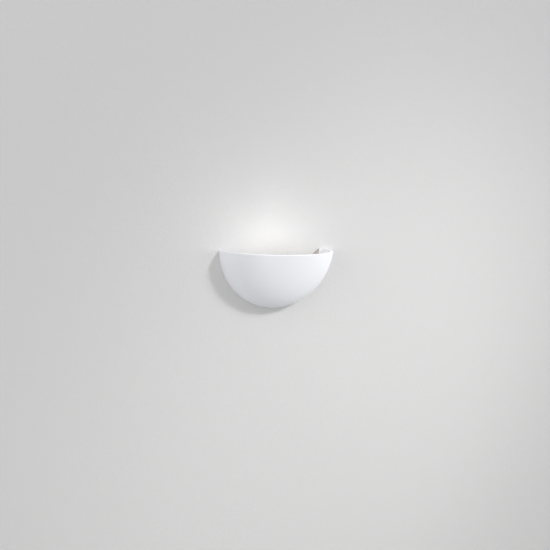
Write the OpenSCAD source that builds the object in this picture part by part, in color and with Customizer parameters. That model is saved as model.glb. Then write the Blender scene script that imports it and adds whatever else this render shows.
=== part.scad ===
// Uplighter wall sconce: a cast quarter-ball bowl that hides a double-ended lamp on a steel wall bracket.
// X runs along the wall to the right, -Y into the room, +Z up. The wall is y = 0, and the origin lies
// between the two wall slots. Lengths are millimetres.

/* [Bowl] */
// Width across the rim, at the wall
bowl_w = 300; // [280:1:340]
// Reach of the rim from the wall
bowl_d = 149; // [138:1:175]
// Height of the bowl
bowl_h = 150; // [140:1:175]
// Thickness of the plaster
bowl_wall = 9; // [7:0.5:11]
// Bevel round both edges of the rim
rim_bevel = 1; // [0.5:0.1:2]

/* [Wall bracket] */
// Thickness of the bracket's sheet
plate_t = 1.5; // [1:0.1:2]
// Height of the rim above the wall slots
rim_z = 55; // [52:1:60]
// Depth of the bracket's top edge under the rim
plate_drop = 27; // [24:0.5:28]
// Room left between the bracket and the bowl's inner wall
plate_gap = 6; // [4:0.5:9]
// Room left under the bracket, down to the bowl's inner floor
plate_floor_gap = 20; // [16:1:24]
// Room between an ear's upright edge and the bowl's inner wall, at the rim
ear_gap = 14; // [12:0.5:17]
// Slope of an ear's inner edge, in degrees
ear_slope = 39; // [34:1:50]
// Width of the flat at an ear's tip
ear_tip = 1.5; // [1:0.1:3]
// Depth of the right ear's tip under the rim
ear_drop_right = 0.5; // [0.3:0.1:3]
// Depth of the left ear's tip under the rim
ear_drop_left = 6; // [0.5:0.5:9]
// Depth of the folded lip along the bracket's bottom edge
lip_d = 8; // [5:0.5:12]
// Distance between the two wall slots
slot_pitch = 110; // [100:1:120]
// Length of a wall slot, end to end
slot_len = 14; // [10:0.5:18]
// Width of a wall slot
slot_w = 5; // [4:0.1:6]

/* [Bowl fixing] */
// Depth of the thumb screws under the rim
fix_drop = 45; // [40:1:50]
// Distance from the bowl's inner wall in to a thumb screw
fix_inset = 18; // [15:0.5:21]
// Stand-off of a fixing tab's back face from the wall
tab_off = 18; // [16:0.5:22]
// Thickness of a fixing tab
tab_t = 2; // [1.5:0.1:3]
// Height of a fixing tab
tab_h = 22; // [18:1:26]
// Depth to which a tab is cast into the plaster
tab_embed = 5; // [4:0.5:6]
// Margin of a tab past its screw's centre
tab_margin = 9; // [8:0.5:10]
// Thread diameter of a thumb screw
thumb_d = 5; // [4:0.5:6]
// Thread pitch of a thumb screw
thumb_pitch = 0.8; // [0.7:0.05:1]
// Distance of a thumb screw's tip from the wall
thumb_tip = 4; // [3:0.1:5]
// Turns by which a thumb screw opens
thumb_turns = 6; // [3:1:7]
// Diameter of a thumb screw's head
thumb_head_d = 18; // [15:0.5:20]
// Length of a thumb screw's head
thumb_head_h = 9; // [7:0.5:12]
// Diameter of a captive washer
washer_d = 15; // [12:0.5:17]
// Thickness of a captive washer
washer_t = 1.2; // [0.8:0.1:2]
// Diameter of a threaded bush
bush_d = 12; // [10:0.5:13]
// Length of a threaded bush in front of the bracket
bush_l = 12.5; // [11:0.5:13.5]
// Diameter of a bush's spigot in the bracket
spigot_d = 8; // [7:0.5:9]

/* [Lamp] */
// Length of the lamp over its caps
lamp_len = 117.6; // [110:0.2:122]
// Depth of the lamp's axis under the rim
lamp_drop = 30; // [28:0.5:31]
// Distance of the lamp's axis from the wall
lamp_out = 58; // [54:0.5:62]
// Diameter of the quartz tube
tube_d = 10; // [8:0.5:11]
// Thickness of the quartz
tube_wall = 0.9; // [0.7:0.1:1.2]
// Diameter of the sealed ends
seal_d = 5.2; // [4.6:0.1:5.6]
// Diameter of an end cap
cap_d = 7.8; // [7.2:0.1:8.4]
// Length of an end cap
cap_len = 10.3; // [9.5:0.1:11.5]
// Depth to which a sealed end sits in its cap
seal_in = 3.5; // [3:0.1:5]
// Length of a sealed end between its cap and the tube's shoulder
seal_free = 4.5; // [4:0.1:6]
// Length of a shoulder of the tube
shoulder_l = 4; // [3:0.1:5]
// Depth of a cap's recess down to its contact
recess = 1.7; // [1.4:0.1:2.2]
// Diameter of a contact button
button_d = 4.5; // [4.2:0.1:4.8]
// Thickness of a contact button
button_t = 1.6; // [1.2:0.1:2]
// Diameter of the coiled filament
coil_d = 1.8; // [1.2:0.1:2.4]
// Diameter of the filament's tails
tail_d = 0.7; // [0.5:0.1:0.9]
// Distance of the coil's ends from the tube's shoulders
coil_in = 8; // [6:0.5:10]
// Wire diameter of a filament support
support_wire = 0.5; // [0.4:0.05:0.6]

/* [Lampholders] */
// Length of a ceramic holder
holder_l = 23; // [22:0.5:26]
// Width of a ceramic holder
holder_w = 18; // [16:0.5:22]
// Depth of a holder under the lamp's axis
holder_under = 10; // [8:0.5:12]
// Height of a holder over the lamp's axis
holder_over = 13; // [12:0.5:13.5]
// Overlap of a holder over the lamp's cap
holder_lap = 1.8; // [1.5:0.1:3]
// Diameter of the socket that takes a cap
socket_d = 9.2; // [9:0.1:9.6]
// Depth of that socket
socket_l = 5; // [4.6:0.1:6]
// Diameter of a contact plunger
plunger_d = 4; // [3.6:0.1:4.2]
// Length of the plunger's guide
guide_l = 4; // [3:0.5:5]
// Diameter of the spring chamber
chamber_d = 7.2; // [6.8:0.1:7.6]
// Diameter of a plunger's collar
collar_d = 6.4; // [6:0.1:6.6]
// Thickness of a plunger's collar
collar_t = 1.5; // [1:0.1:2]
// Gap in front of the collar, taken up by its spring when the lamp is out
collar_gap = 1.8; // [1.6:0.1:2.2]
// Travel of a contact plunger to either side of rest
push = 1.5; // [1:0.1:1.5]
// Diameter of a plunger's tail
stem_d = 2.4; // [2:0.1:2.8]
// Length of a plunger's tail
stem_l = 5.5; // [4:0.5:6]
// Mean diameter of a contact spring
spring_d = 5.8; // [5.6:0.1:6]
// Wire diameter of a contact spring
spring_wire = 0.7; // [0.5:0.1:0.8]
// Turns of a contact spring
spring_turns = 5; // [3:1:6]
// Room at either end of a contact spring
spring_room = 0.15; // [0.1:0.05:0.2]
// Height of a holder's bolt over the lamp's axis
bolt_over = 8.7; // [8.4:0.1:9.2]
// Diameter of a holder's bolt
bolt_d = 3; // [2.5:0.5:3.5]

/* [Carrier and reflector] */
// Thickness of the carrier's sheet
shelf_t = 1.5; // [1:0.1:2]
// Depth of the carrier's shelf under the lamp's axis
shelf_drop = 16.5; // [15:0.5:17.5]
// Margin of the shelf in front of the reflector
shelf_margin = 2; // [1:0.5:6]
// Distance of the shelf's windows from the reflector, and from the bracket's foot
window_gap = 6; // [5:0.5:8]
// Width of a strip of shelf between two windows
window_strip = 9; // [6:0.5:12]
// Width of the carrier's foot on the bracket
foot_w = 90; // [80:1:110]
// Height of that foot
foot_h = 18; // [16:0.5:19]
// Distance between the carrier's screws
foot_pitch = 60; // [50:1:68]
// Thread diameter of the carrier's and the earth screw
screw_d = 4; // [3:0.5:4.5]
// Depth of an end flange, along Y
flange_d = 24; // [22:1:30]
// Radius of the reflector's curve
trough_r = 22; // [20:0.5:24]
// Thickness of the reflector
trough_t = 0.8; // [0.5:0.1:1.2]
// Length of the reflector
trough_l = 100; // [80:1:106]
// Width of the reflector's flat seat
trough_seat = 12; // [10:0.5:16]
// Height of the reflector over its seat
trough_h = 17; // [12:0.5:19]
// Distance between the reflector's rivets
rivet_pitch = 70; // [50:1:80]
// Diameter of a rivet
rivet_d = 3; // [2.4:0.1:3.6]

/* [Wiring] */
// Distance between two ways of the terminal block
way_pitch = 14; // [11:0.5:15]
// Depth of the block from the bracket
block_d = 16; // [14:0.5:20]
// Height of the block
block_h = 17; // [15:0.5:19]
// Gap between the shelf and the block
block_gap = 14; // [12:0.5:15]
// Margin of the block past its outer ways
block_margin = 12; // [10.5:0.5:13]
// Depth of the grooves between the ways
groove_d = 4; // [2:0.5:6]
// Width of the grooves between the ways
groove_w = 1.5; // [1:0.1:2]
// Diameter of a brass cage
cage_d = 6; // [5:0.1:6.6]
// Depth of a cage's ends in the block
cage_in = 1; // [0.5:0.1:1.5]
// Diameter of a wire hole in a cage
wire_hole_d = 3.2; // [2.8:0.1:3.6]
// Diameter of a clamp screw
clamp_d = 2.5; // [2:0.1:2.8]
// Diameter of a clamp screw's head
clamp_head_d = 4.2; // [3.6:0.1:4.6]
// Diameter of a sleeved lead
lead_d = 2.6; // [2.2:0.1:3]
// Bend radius of a sleeved lead
lead_bend = 4; // [3.8:0.1:4.2]
// Diameter of a ferrule's pin
pin_d = 2.4; // [2:0.1:2.6]
// Depth of a ferrule's pin in the block
pin_in = 6.5; // [5:0.1:7]
// Gap between the block and a ferrule's crimp
crimp_gap = 0.4; // [0.3:0.1:1]
// Length of a ferrule's crimp
crimp_l = 3.6; // [3:0.1:4]
// Wall of a ferrule's crimp
crimp_wall = 0.3; // [0.2:0.05:0.5]
// Diameter of the block's own screws
block_screw_d = 3; // [2.5:0.5:3.5]
// Distance of the block's own screws from its ends
block_screw_in = 5; // [4.5:0.1:5.2]
// Depth of the pockets for their heads
block_pocket = 4; // [3:0.5:5]
// Distance of the earth screw from the middle
earth_x = 43; // [41:0.5:45]
// Depth of the earth screw under the wall slots
earth_drop = 26; // [22:0.5:30]
// Thickness of the earth tag and of its lock washer
tag_t = 0.8; // [0.5:0.1:1.2]
// Length of the earth tag's barrel
tag_barrel = 6; // [4:0.5:7]
// Gap between the terminal block and the cable bush
inlet_gap = 6; // [4:0.5:7]
// Bore of the cable bush
inlet_d = 10; // [8:0.5:11]
// Wall of the cable bush
inlet_wall = 3; // [2:0.1:3.5]
// Depth and reach of the cable bush's flange
inlet_flange = 2; // [1.5:0.1:2.5]

/* [Clearances] */
// Radial running clearance of a shaft in its bore
run_fit = 0.05; // [0.02:0.01:0.08]
// Radial clearance of a fixed piece in its hole
seat_fit = 0.1; // [0.05:0.01:0.15]
// Radial clearance of a screw in a plain hole
screw_fit = 0.3; // [0.2:0.05:0.5]

/* [Hidden] */
$fn = 48;

// Overshoot of a cut past the faces it opens, and overlap of two shapes that make one piece.
cut = 1;
join = 0.1;
sides = [-1, 1];

// The bowl's inner surface has the same form as the outer one, a wall smaller each way.
inner = [bowl_w / 2 - bowl_wall, bowl_d - bowl_wall, bowl_h - bowl_wall];
outer = [bowl_w / 2, bowl_d, bowl_h];

// Half-width and reach of a bowl surface of semi-axes s, at a depth under the rim.
function half_width(s, depth) = s[0] * sqrt(1 - pow(depth / s[2], 2));
function reach(s, depth) = s[1] * sqrt(1 - depth / s[2]);
function wall_x(depth, y) = half_width(inner, depth) * sqrt(1 - pow(y / reach(inner, depth), 2));

// Places that several pieces share.
ear_x = inner[0] - ear_gap;
plate_top = rim_z - plate_drop;
plate_bottom = rim_z - inner[2] + plate_floor_gap;
fix_x = wall_x(fix_drop, tab_off) - fix_inset;
fix_z = rim_z - fix_drop;
tab_front = tab_off + tab_t;
thumb_seat = tab_front + washer_t;
thumb_travel = thumb_turns * thumb_pitch;

lamp_z = rim_z - lamp_drop;
cap_end = lamp_len / 2;
cap_start = cap_end - cap_len;
contact_x = cap_end - recess;
seal_end = cap_start + seal_in;
shoulder = cap_start - seal_free;

holder_front = cap_end - holder_lap;
flange_x = holder_front + holder_l;
guide_start = holder_front + socket_l;
chamber_start = guide_start + guide_l;
collar_x = chamber_start + collar_gap;
spring_start = collar_x + collar_t + push + spring_room;
spring_end = flange_x - spring_room;
stem_end = collar_x + collar_t + stem_l;

shelf_top = lamp_z - shelf_drop;
shelf_bottom = shelf_top - shelf_t;
foot_z = shelf_top + (foot_h + shelf_t) / 2;
trough_centre = shelf_top + sqrt(pow(trough_r + trough_t, 2) - pow(trough_seat / 2, 2));
shelf_front = lamp_out + trough_r + shelf_margin;

block_top = shelf_bottom - block_gap;
block_w = 2 * way_pitch + 2 * block_margin;
block_z = block_top - block_h / 2;
block_screw_x = block_w / 2 - block_screw_in;
way_y = plate_t + block_d / 2;
cage_l = block_h - 2 * cage_in;
ways = [-way_pitch, 0, way_pitch];
clamp_rows = [block_z + cage_l / 4, block_z - cage_l / 4];
ferrule_top = block_top + crimp_gap + crimp_l;
inlet_r = inlet_d / 2 + inlet_wall;
inlet_z = block_top - block_h - inlet_gap - inlet_r - inlet_flange;
tag_r = 1.05 * screw_d;

// ---------------------------------------------------------------- shared shapes

// Turns a shape whose axis is +Z towards the room, along -Y.
module to_room() { rotate([90, 0, 0]) children(); }

// Turns a shape whose axis is +Z along +X, or along -X for side = -1.
module to_side(side) { rotate([0, side * 90, 0]) children(); }

// Both sides of the middle plane.
module both_sides() { for (s = sides) mirror([s < 0 ? 1 : 0, 0, 0]) children(); }

// A tube on +Z, from z0 to z1.
module ring(d_out, d_in, z0, z1) {
    translate([0, 0, z0]) difference() {
        cylinder(h = z1 - z0, d = d_out);
        translate([0, 0, -cut]) cylinder(h = z1 - z0 + 2 * cut, d = d_in);
    }
}

// Head of a pan-head screw of thread d.
function pan_d(d) = 1.9 * d;
function pan_h(d) = 0.6 * d;

// A pan-head screw with a cross recess: head over z = 0, shank under it.
module pan_screw(d, shank) {
    chamfer = 0.1 * d;
    arm = [0.75 * pan_d(d), 0.22 * d, pan_h(d)];
    difference() {
        union() {
            cylinder(h = pan_h(d) - chamfer, d = pan_d(d));
            translate([0, 0, pan_h(d) - chamfer])
                cylinder(h = chamfer, d1 = pan_d(d), d2 = pan_d(d) - 2 * chamfer);
            translate([0, 0, -shank]) cylinder(h = shank + join, d = d);
        }
        for (turn = [0, 90]) rotate([0, 0, turn])
            translate([-arm[0] / 2, -arm[1] / 2, 0.4 * pan_h(d)]) cube(arm);
    }
}

// A hexagon nut with its bore, from z = 0 up.
module hex_nut(d, bore) {
    difference() {
        cylinder(h = 0.8 * d, d = 2.1 * d, $fn = 6);
        translate([0, 0, -cut]) cylinder(h = 0.8 * d + 2 * cut, d = bore, $fn = 32);
    }
}

// Catmull-Rom point on the stretch from b to c.
function spline(a, b, c, d, t) =
    0.5 * (2 * b + (c - a) * t + (2 * a - 5 * b + 4 * c - d) * t * t
    + (3 * b - a - 3 * c + d) * t * t * t);

// A smooth route through the stations, with steps points on each stretch.
function route(p, steps) = let (n = len(p) - 1) concat(
    [for (i = [0:n - 1], k = [0:steps - 1])
        spline(p[max(i - 1, 0)], p[i], p[i + 1], p[min(i + 2, n)], k / steps)],
    [p[n]]);

function unit(v) = v / norm(v);
function headings(p) = let (n = len(p) - 1)
    [for (i = [0:n]) unit(p[min(i + 1, n)] - p[max(i - 1, 0)])];
function square_to(v, t) = unit(v - (v * t) * t);

// A round tube of n sides swept along the points p; first and last set the headings of its ends.
module sweep_tube(p, r, n, first, last) {
    h = headings(p);
    t = [for (i = [0:len(p) - 1]) i == 0 ? first : i == len(p) - 1 ? last : h[i]];
    across = [for (i = 0, v = square_to([0.1, 0.7, 0.3], t[0]); i < len(p);
        i = i + 1, v = i < len(p) ? square_to(v, t[i]) : v) v];
    points = [for (i = [0:len(p) - 1], k = [0:n - 1]) let (a = 360 * k / n)
        p[i] + r * (cos(a) * across[i] + sin(a) * cross(t[i], across[i]))];
    sides_of_tube = [for (i = [0:len(p) - 2], k = [0:n - 1]) let (j = (k + 1) % n)
        each [[i * n + k, (i + 1) * n + k, (i + 1) * n + j], [i * n + k, (i + 1) * n + j, i * n + j]]];
    top = (len(p) - 1) * n;
    polyhedron(points, concat(sides_of_tube,
        [[for (k = [0:n - 1]) k]], [[for (k = [n - 1:-1:0]) top + k]]));
}

// ---------------------------------------------------------------- bowl

bowl_rows = 20;
bowl_columns = 44;

// Rows of a bowl surface as [angle under the rim, inset], with the rim's bevel as the first.
function rows(s, bevel) = concat(
    [[0, bevel], [asin(rim_bevel / s[2]), 0]],
    [for (i = [1:bowl_rows - 1]) [90 * i / bowl_rows, 0]]);

// Points of a bowl surface, row by row, and its lowest point last.
function surface_points(s, bevel) = concat(
    [for (row = rows(s, bevel), j = [0:bowl_columns])
        let (depth = s[2] * sin(row[0]), turn = 180 * j / bowl_columns)
        [(half_width(s, depth) - row[1]) * cos(turn),
         -(reach(s, depth) - row[1]) * sin(turn),
         rim_z - depth]],
    [[0, 0, rim_z - s[2]]]);

function flipped(faces, flip) = flip ? [for (f = faces) [f[2], f[1], f[0]]] : faces;
function quad(a, b, c, d) = [[a, b, c], [a, c, d]];

module bowl_shell() {
    color("white") {
        last = bowl_rows;
        stride = bowl_columns + 1;
        count = (last + 1) * stride + 1;
        at = function (i, j) i * stride + j;
        skin = concat(
            [for (i = [0:last - 1], j = [0:bowl_columns - 1])
                each quad(at(i, j), at(i, j + 1), at(i + 1, j + 1), at(i + 1, j))],
            [for (j = [0:bowl_columns - 1]) [at(last, j), at(last, j + 1), count - 1]]);
        inner_skin = [for (f = skin) f + [count, count, count]];
        rim = [for (j = [0:bowl_columns - 1])
            each quad(at(0, j), at(0, j) + count, at(0, j + 1) + count, at(0, j + 1))];
        back = function (j) concat(
            [for (i = [0:last - 1])
                each quad(at(i, j), at(i + 1, j), at(i + 1, j) + count, at(i, j) + count)],
            quad(at(last, j), count - 1, 2 * count - 1, at(last, j) + count));
        polyhedron(
            concat(surface_points(outer, rim_bevel), surface_points(inner, -rim_bevel)),
            concat(flipped(skin, false), flipped(inner_skin, true), rim,
                back(0), flipped(back(bowl_columns), true)));
    }
}

// ---------------------------------------------------------------- wall bracket

// Outline of the right half of the bracket, below its top edge.
function plate_edge(z) = [min(ear_x, half_width(inner, rim_z - z) - plate_gap), z];

// One ear over the top edge, on the right.
module ear(drop) {
    tip = rim_z - drop;
    polygon([
        [ear_x, plate_top - cut],
        [ear_x, tip],
        [ear_x - ear_tip, tip],
        [ear_x - ear_tip - (plate_drop - drop) / tan(ear_slope), plate_top],
        [ear_x - ear_tip - (plate_drop - drop) / tan(ear_slope), plate_top - cut],
    ]);
}

module plate_outline() {
    edge = [for (k = [0:6]) plate_edge(plate_top - k / 6 * (plate_top - plate_bottom))];
    polygon(concat(edge, [for (k = [6:-1:0]) [-edge[k][0], edge[k][1]]]));
    ear(ear_drop_right);
    mirror([1, 0]) ear(ear_drop_left);
}

// Where the holes of the bracket are, each as [x, z, diameter].
plate_holes = concat(
    [for (s = sides) [s * fix_x, fix_z, spigot_d + 2 * seat_fit]],
    [for (s = sides) [s * foot_pitch / 2, foot_z, screw_d + 2 * seat_fit]],
    [for (s = sides) [s * block_screw_x, block_z, block_screw_d + 2 * seat_fit]],
    [[earth_x, -earth_drop, screw_d + 2 * seat_fit]],
    [[0, inlet_z, 2 * (inlet_r + seat_fit)]]);

module wall_bracket() {
    color("darkgray") {
        difference() {
            to_room() linear_extrude(plate_t) plate_outline();
            for (hole = plate_holes) translate([hole[0], cut, hole[1]])
                to_room() cylinder(h = plate_t + 2 * cut, d = hole[2]);
            for (s = sides) translate([s * slot_pitch / 2, cut, 0]) to_room() slot_cut();
        }
        lip_w = 2 * (plate_edge(plate_bottom)[0] - lip_d / 2);
        translate([-lip_w / 2, -plate_t - lip_d, plate_bottom]) cube([lip_w, lip_d + join, plate_t]);
    }
}

// A wall slot with round ends, along X.
module slot_cut() {
    run = slot_len - slot_w;
    h = plate_t + 2 * cut;
    for (s = sides) translate([s * run / 2, 0, 0]) cylinder(h = h, d = slot_w);
    translate([-run / 2, -slot_w / 2, 0]) cube([run, slot_w, h]);
}

// ---------------------------------------------------------------- bowl fixing

module fixing_tab(side) {
    outer_x = wall_x(fix_drop, tab_off) + tab_embed;
    inner_x = fix_x - tab_margin;
    color("silver") mirror([side < 0 ? 1 : 0, 0, 0]) difference() {
        translate([inner_x, -tab_front, fix_z - tab_h / 2]) cube([outer_x - inner_x, tab_t, tab_h]);
        translate([fix_x, -tab_off + cut, fix_z])
            to_room() cylinder(h = tab_t + 2 * cut, d = thumb_d + 2 * screw_fit);
    }
}

module bracket_bushes() {
    bore = thumb_d + 2 * run_fit;
    color("silver") both_sides() translate([fix_x, 0, fix_z]) to_room() difference() {
        union() {
            cylinder(h = plate_t + join, d = spigot_d);
            translate([0, 0, plate_t]) cylinder(h = bush_l, d = bush_d);
        }
        translate([0, 0, -cut]) cylinder(h = plate_t + bush_l + 2 * cut, d = bore);
    }
}

// A knurled screw: its shank runs through washer and tab into the bush.
module thumb_screw(side) {
    grooves = 24;
    groove_r = 0.8;
    groove_in = 0.45;
    chamfer = 1;
    slot = [thumb_head_d, 1.2, 1.6];
    color("gainsboro") translate([side * fix_x, 0, fix_z]) to_room() {
        difference() {
            translate([0, 0, thumb_seat]) union() {
                cylinder(h = thumb_head_h - chamfer, d = thumb_head_d);
                translate([0, 0, thumb_head_h - chamfer])
                    cylinder(h = chamfer, d1 = thumb_head_d, d2 = thumb_head_d - 2 * chamfer);
            }
            for (k = [0:grooves - 1]) rotate([0, 0, 360 * k / grooves])
                translate([thumb_head_d / 2 + groove_r - groove_in, 0, thumb_seat + chamfer])
                cylinder(h = thumb_head_h, r = groove_r, $fn = 16);
            translate([-slot[0] / 2, -slot[1] / 2, thumb_seat + thumb_head_h - slot[2]])
                cube([slot[0], slot[1], slot[2] + cut]);
        }
        translate([0, 0, thumb_tip]) cylinder(h = thumb_seat - thumb_tip + join, d = thumb_d);
    }
}

module thumb_washer(side) {
    color("ivory") translate([side * fix_x, 0, fix_z])
        to_room() ring(washer_d, thumb_d + 2 * run_fit, tab_front, thumb_seat);
}

// ---------------------------------------------------------------- carrier and reflector

module lamp_carrier() {
    color("silver") difference() {
        union() {
            translate([-flange_x - shelf_t, -shelf_front, shelf_bottom])
                cube([2 * (flange_x + shelf_t), shelf_front - plate_t, shelf_t]);
            translate([-foot_w / 2, -plate_t - shelf_t, shelf_bottom])
                cube([foot_w, shelf_t, foot_h + shelf_t]);
            both_sides() translate([flange_x, -lamp_out - flange_d / 2, shelf_bottom])
                cube([shelf_t, flange_d, lamp_z + holder_over - shelf_bottom]);
        }
        // Screw holes of the foot.
        for (s = sides) translate([s * foot_pitch / 2, cut, foot_z])
            to_room() cylinder(h = plate_t + shelf_t + 2 * cut, d = screw_d + 2 * screw_fit);
        // Lead hole and bolt hole of each end flange.
        both_sides() translate([flange_x - cut, -lamp_out, lamp_z]) {
            to_side(1) cylinder(h = shelf_t + 2 * cut, d = lead_d + 2 * screw_fit);
            translate([0, 0, bolt_over])
                to_side(1) cylinder(h = shelf_t + 2 * cut, d = bolt_d + 2 * seat_fit);
        }
        // Rivet holes, and windows that let heat and light past between shelf and wall.
        for (s = sides) translate([s * rivet_pitch / 2, -lamp_out, shelf_bottom - cut])
            cylinder(h = shelf_t + 2 * cut, d = rivet_d + 2 * seat_fit);
        window_back = plate_t + shelf_t + window_gap;
        window = [(foot_w - 2 * window_strip) / 3, lamp_out - trough_r - window_gap - window_back,
            shelf_t + 2 * cut];
        for (s = [-1, 0, 1]) translate([s * (window[0] + window_strip) - window[0] / 2,
            -window_back - window[1], shelf_bottom - cut]) cube(window);
    }
}

module carrier_screws() {
    color("gainsboro") for (s = sides) translate([s * foot_pitch / 2, -plate_t - shelf_t, foot_z])
        to_room() pan_screw(screw_d, plate_t + shelf_t);
}

// The trough's section has Y across and Z up, and is run along X.
module reflector() {
    clear_r = rivet_d / 2 + seat_fit;
    color("whitesmoke") difference() {
        translate([-trough_l / 2, 0, 0]) rotate([90, 0, 90]) linear_extrude(trough_l) {
            intersection() {
                translate([-lamp_out, trough_centre]) difference() {
                    circle(r = trough_r + trough_t, $fn = 96);
                    circle(r = trough_r, $fn = 96);
                }
                translate([-lamp_out - 2 * trough_r, shelf_top]) square([4 * trough_r, trough_h]);
            }
            translate([-lamp_out - trough_seat / 2, shelf_top]) square([trough_seat, trough_t]);
        }
        for (s = sides) translate([s * rivet_pitch / 2, -lamp_out, shelf_top - cut])
            cylinder(h = trough_t + 3 * cut, r = clear_r);
    }
}

module reflector_rivets() {
    seat_top = shelf_top + trough_t;
    head_h = 0.8;
    color("silver") for (s = sides) translate([s * rivet_pitch / 2, -lamp_out, 0]) {
        translate([0, 0, shelf_bottom]) cylinder(h = seat_top - shelf_bottom + join, d = rivet_d);
        translate([0, 0, seat_top]) cylinder(h = head_h, d1 = 2 * rivet_d, d2 = 1.4 * rivet_d);
        translate([0, 0, shelf_bottom - head_h])
            cylinder(h = head_h, d1 = 1.2 * rivet_d, d2 = 1.6 * rivet_d);
    }
}

// ---------------------------------------------------------------- lampholders

// Depth of the pocket for a bolt's head.
bolt_pocket = pan_h(bolt_d) + 0.1 * bolt_d;

module lampholder(side) {
    h = holder_under + holder_over;
    groove = 2;
    color("linen") mirror([side < 0 ? 1 : 0, 0, 0]) translate([0, -lamp_out, lamp_z]) difference() {
        translate([holder_front, -holder_w / 2, -holder_under]) cube([holder_l, holder_w, h]);
        translate([holder_front - cut, 0, 0]) to_side(1) cylinder(h = socket_l + cut, d = socket_d);
        translate([holder_front, 0, 0]) to_side(1) cylinder(h = holder_l, d = plunger_d + 2 * run_fit);
        translate([chamber_start, 0, 0]) to_side(1) cylinder(h = holder_l, d = chamber_d);
        // The bolt's hole, and the pocket for its head.
        translate([holder_front - cut, 0, bolt_over]) {
            to_side(1) cylinder(h = holder_l + 2 * cut, d = bolt_d + 2 * seat_fit);
            to_side(1) cylinder(h = cut + bolt_pocket, d = pan_d(bolt_d) + 2 * seat_fit);
        }
        // Grooves down both flanks.
        for (s = sides, k = [1, 2]) translate([holder_front + k * holder_l / 3 - groove / 2,
            s * holder_w / 2 - groove / 2, -holder_under - cut]) cube([groove, groove, h + 2 * cut]);
    }
}

// Bolts run from the lamp's side through holder and flange.
module holder_bolts() {
    seat = holder_front + bolt_pocket;
    color("gainsboro") both_sides() translate([seat, -lamp_out, lamp_z + bolt_over])
        to_side(-1) pan_screw(bolt_d, flange_x + shelf_t + bolt_d - seat);
}

module holder_nuts() {
    color("gainsboro") both_sides() translate([flange_x + shelf_t, -lamp_out, lamp_z + bolt_over])
        to_side(1) hex_nut(bolt_d, bolt_d + 2 * seat_fit);
}

// A sprung plunger: domed nose, collar in the chamber, tail inside the spring.
module contact(side) {
    nose = 0.8;
    r = plunger_d / 2;
    color("peru") mirror([side < 0 ? 1 : 0, 0, 0]) translate([0, -lamp_out, lamp_z]) to_side(1)
        rotate_extrude() polygon([
            [0, contact_x], [r - nose, contact_x], [r, contact_x + nose],
            [r, collar_x], [collar_d / 2, collar_x], [collar_d / 2, collar_x + collar_t],
            [stem_d / 2, collar_x + collar_t], [stem_d / 2, stem_end], [0, stem_end],
        ]);
}

// Points of a contact spring, along +X from its start.
spring_steps = 10;
spring_run = spring_end - spring_start - spring_wire;
spring_points = [for (k = [0:spring_turns * spring_steps])
    let (a = 360 * k / spring_steps, f = k / (spring_turns * spring_steps))
    [spring_start + spring_wire / 2 + f * spring_run,
     spring_d / 2 * cos(a), spring_d / 2 * sin(a)]];
spring_gap = spring_run / spring_turns - spring_wire;
echo(spring_gap_mm = spring_gap);

module contact_spring(side) {
    color("lightgray") mirror([side < 0 ? 1 : 0, 0, 0]) translate([0, -lamp_out, lamp_z])
        sweep_tube(spring_points, spring_wire / 2, 6, [0, 0, 1], [0, 0, 1]);
}

// ---------------------------------------------------------------- lamp

module lamp_axis() { translate([0, -lamp_out, lamp_z]) to_side(1) children(); }

module lamp_tube() {
    r = tube_d / 2;
    seal_r = seal_d / 2;
    bore = tail_d / 2 + run_fit;
    taper = shoulder + shoulder_l;
    outside = [[seal_r, seal_end], [seal_r, taper], [r, shoulder]];
    inside = [[bore, seal_end], [bore, taper - tube_wall], [r - tube_wall, shoulder - tube_wall]];
    color("lightcyan", 0.4) lamp_axis() rotate_extrude() polygon(concat(
        [for (p = outside) [p[0], -p[1]]], [for (k = [2:-1:0]) outside[k]],
        inside, [for (k = [2:-1:0]) [inside[k][0], -inside[k][1]]]));
}

module lamp_caps() {
    r = cap_d / 2;
    seat = seal_d / 2 + seat_fit;
    button = button_d / 2 + seat_fit;
    button_back = contact_x - button_t;
    tail = tail_d / 2 + seat_fit;
    bevel = 0.6;
    color("linen") both_sides() lamp_axis() rotate_extrude() polygon([
        [seat, cap_start], [r, cap_start], [r, cap_end - bevel], [r - bevel, cap_end], [button, cap_end],
        [button, button_back], [tail, button_back], [tail, seal_end], [seat, seal_end],
    ]);
}

module lamp_buttons() {
    color("silver") both_sides() lamp_axis()
        translate([0, 0, contact_x - button_t]) cylinder(h = button_t, d = button_d);
}

module lamp_filament() {
    reach_x = contact_x - button_t;
    coil = shoulder - coil_in;
    color("gray") lamp_axis() {
        translate([0, 0, -reach_x]) cylinder(h = 2 * reach_x, d = tail_d, $fn = 16);
        translate([0, 0, -coil]) cylinder(h = 2 * coil, d = coil_d, $fn = 24);
    }
}

// Wire loops that hold the filament in the middle of the tube.
module filament_supports() {
    wire_r = support_wire / 2;
    loop_r = tube_d / 2 - tube_wall - seat_fit - wire_r;
    hub_r = coil_d / 2 + run_fit + wire_r;
    color("gray") for (k = [-1.5:1:1.5]) lamp_axis() translate([0, 0, 0.45 * k * shoulder]) {
        rotate_extrude() translate([loop_r, 0]) circle(r = wire_r, $fn = 16);
        translate([hub_r, 0, 0]) rotate([0, 90, 0]) cylinder(h = loop_r - hub_r, r = wire_r, $fn = 16);
        rotate_extrude() translate([hub_r, 0]) circle(r = wire_r, $fn = 16);
    }
}

// ---------------------------------------------------------------- wiring

clamp_hole_d = clamp_head_d + 2 * screw_fit;

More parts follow.
